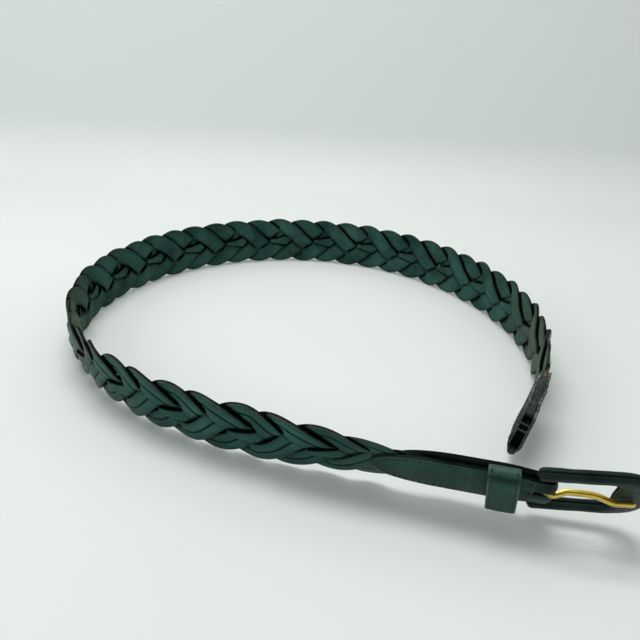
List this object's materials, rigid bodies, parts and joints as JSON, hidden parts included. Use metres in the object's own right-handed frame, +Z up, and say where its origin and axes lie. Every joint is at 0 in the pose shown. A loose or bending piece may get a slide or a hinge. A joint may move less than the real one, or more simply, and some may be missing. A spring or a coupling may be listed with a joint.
{
  "type": "braided leather belt",
  "caption": "Braided leather waist belt standing on edge in an open loop, with a leather covered buckle, brass prong, folded tab, sliding keeper and stitched tip.",
  "frame": {"origin": "middle of the bounding box, on the plane that the belt's lower edge stands on", "axes": "+Z up across the strap; +Y from the buckle towards the far side of the loop; +X towards the buckle's far end"},
  "size_m": [0.3184, 0.3668, 0.0445],
  "materials": {
    "strand_leather": "satin dyed leather with raw edges",
    "tab_leather": "satin dyed leather",
    "lining_leather": "matt dyed leather",
    "thread": "waxed thread",
    "steel": "plain steel",
    "brass": "polished brass"
  },
  "bodies": {
    "strap": {"strand_1": "strand_leather", "strand_2": "strand_leather", "strand_3": "strand_leather", "strand_4": "strand_leather", "centre_strand": "strand_leather", "buckle_tab": "tab_leather", "tab_edge_stitching": "thread", "fold_cross_stitching": "thread", "window_cross_stitching": "thread", "tip_front": "tab_leather", "tip_back": "lining_leather", "tip_stitching": "thread"},
    "keeper": {"keeper_loop": "tab_leather", "keeper_stitching": "thread", "keeper_staple": "steel"},
    "buckle": {"buckle_frame": "steel", "buckle_bar": "steel", "buckle_cover_front": "tab_leather", "buckle_cover_back": "lining_leather"},
    "prong": {"prong": "brass"}
  },
  "joints": [
    {"name": "keeper_slide", "type": "slide", "parent": "strap", "child": "keeper", "axis": [0.9696, -0.2428, 0.0296], "range_m": [-0.0065, 0.0035]},
    {"name": "buckle_hinge", "type": "hinge", "parent": "strap", "child": "buckle", "pos_m": [0.11388, -0.16677, 0.02354], "axis": [-0.1531, -0.5082, 0.8475], "range_deg": [-20, 40]},
    {"name": "prong_hinge", "type": "hinge", "parent": "buckle", "child": "prong", "pos_m": [0.11388, -0.16677, 0.02354], "axis": [0.1531, 0.5082, -0.8475], "range_deg": [0, 95]}
  ]
}
